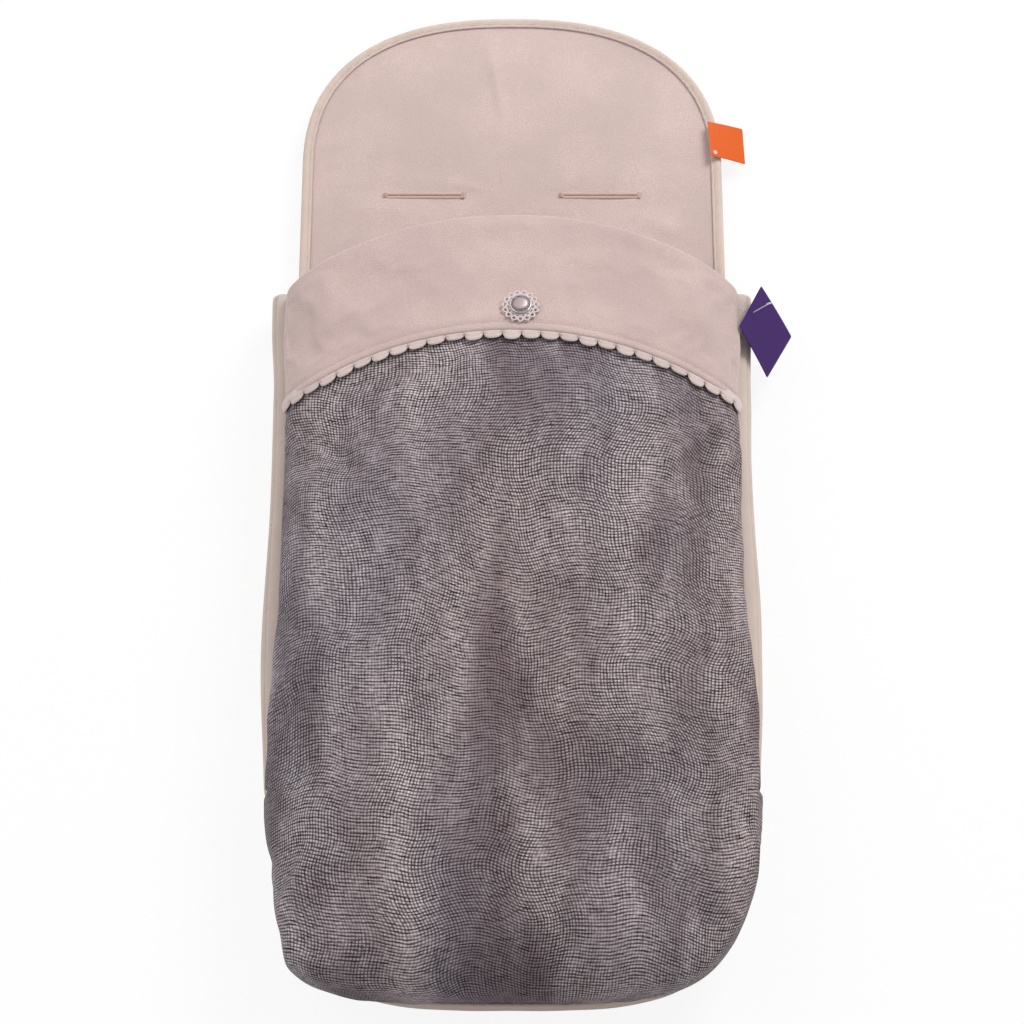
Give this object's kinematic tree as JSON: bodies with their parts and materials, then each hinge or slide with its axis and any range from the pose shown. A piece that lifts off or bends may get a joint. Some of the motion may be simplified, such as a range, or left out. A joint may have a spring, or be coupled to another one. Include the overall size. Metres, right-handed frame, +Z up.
{
  "type": "carrycot footmuff",
  "caption": "Padded carrycot footmuff lying on its back: arched zip-off cover with a turned-down button cuff, scalloped trim, toe box, harness slits and swing tags.",
  "frame": {"origin": "middle of the back panel, on the plane of its underside", "axes": "+Y towards the head end, +Z up through the cover, +X to the right seen from above with the head end away from the viewer"},
  "size_m": [0.4364, 0.9081, 0.1282],
  "materials": {
    "cream_cloth": "plain woven cloth, cream",
    "plush": "short velour pile, pale pink-cream",
    "print_cloth": "grey cloth with an all-over reptile print and a slight sheen",
    "wadding": "polyester wadding, white",
    "lace": "crocheted cotton, white",
    "silver_metal": "plated metal",
    "zip_plastic": "moulded zip on a woven tape, beige",
    "orange_card": "printed card, plain orange",
    "purple_card": "printed card, plain dark purple",
    "clear_plastic": "clear nylon"
  },
  "bodies": {
    "back": {"back_shell": "cream_cloth", "back_wadding": "wadding", "back_lining": "plush", "harness_slit_left_border": "plush", "harness_slit_right_border": "plush", "crotch_slit_border": "plush", "head_binding": "cream_cloth", "side_band_left": "cream_cloth", "side_band_right": "cream_cloth", "toe_shell": "print_cloth", "toe_wadding": "wadding", "toe_lining": "plush", "zip_tape_base_left": "zip_plastic", "zip_tape_base_right": "zip_plastic", "top_stop_base_left": "zip_plastic", "top_stop_base_right": "zip_plastic", "bottom_stop_left": "zip_plastic", "bottom_stop_right": "zip_plastic"},
    "cover": {"cover_shell": "print_cloth", "cover_wadding": "wadding", "cover_lining": "plush", "mouth_hem": "plush", "zip_tape_cover_left": "zip_plastic", "zip_tape_cover_right": "zip_plastic", "top_stop_cover_left": "zip_plastic", "top_stop_cover_right": "zip_plastic", "press_stud": "silver_metal"},
    "cuff": {"cuff": "plush", "scallop_trim": "cream_cloth", "lace_rosette": "lace", "button_cap": "silver_metal", "stud_socket": "silver_metal"},
    "slider_left": {"slider_left": "silver_metal"},
    "slider_right": {"slider_right": "silver_metal"},
    "pull_left": {"pull_tab_left": "silver_metal"},
    "pull_right": {"pull_tab_right": "silver_metal"},
    "orange_tag": {"orange_tag": "orange_card", "orange_tag_barb": "clear_plastic"},
    "purple_tag": {"purple_tag": "purple_card", "purple_tag_fastener": "clear_plastic"}
  },
  "joints": [
    {"name": "cover_fold", "type": "hinge", "parent": "back", "child": "cover", "pos_m": [0, -0.29, 0.118], "axis": [1, 0, 0], "range_deg": [0, 150]},
    {"name": "cuff_turn", "type": "hinge", "parent": "cover", "child": "cuff", "pos_m": [0, 0.201, 0.091], "axis": [-1, 0, 0], "range_deg": [0, 110]},
    {"name": "orange_tag_lift", "type": "hinge", "parent": "back", "child": "orange_tag", "pos_m": [0.1742, 0.3245, 0.0267], "axis": [0.0523, -0.9986, 0], "range_deg": [0, 150]},
    {"name": "purple_tag_lift", "type": "hinge", "parent": "cuff", "child": "purple_tag", "pos_m": [0.18871, 0.13024, 0.07294], "axis": [-0.4079, -0.8749, 0.261], "range_deg": [0, 100]},
    {"name": "slider_left_run", "type": "slide", "parent": "back", "child": "slider_left", "axis": [0, -1, 0], "range_m": [0, 0.3906]},
    {"name": "pull_left_swing", "type": "hinge", "parent": "slider_left", "child": "pull_left", "pos_m": [-0.1768, 0.15113, 0.0496], "axis": [1, 0, 0], "range_deg": [0, 120]},
    {"name": "slider_right_run", "type": "slide", "parent": "back", "child": "slider_right", "axis": [0, -1, 0], "range_m": [0, 0.3906]},
    {"name": "pull_right_swing", "type": "hinge", "parent": "slider_right", "child": "pull_right", "pos_m": [0.1768, 0.15113, 0.0496], "axis": [1, 0, 0], "range_deg": [0, 120]}
  ],
  "couplings": [
    {"joint": "slider_left_run", "follows": "cover_fold", "m_per_rad": 0.149},
    {"joint": "slider_right_run", "follows": "cover_fold", "m_per_rad": 0.149}
  ]
}
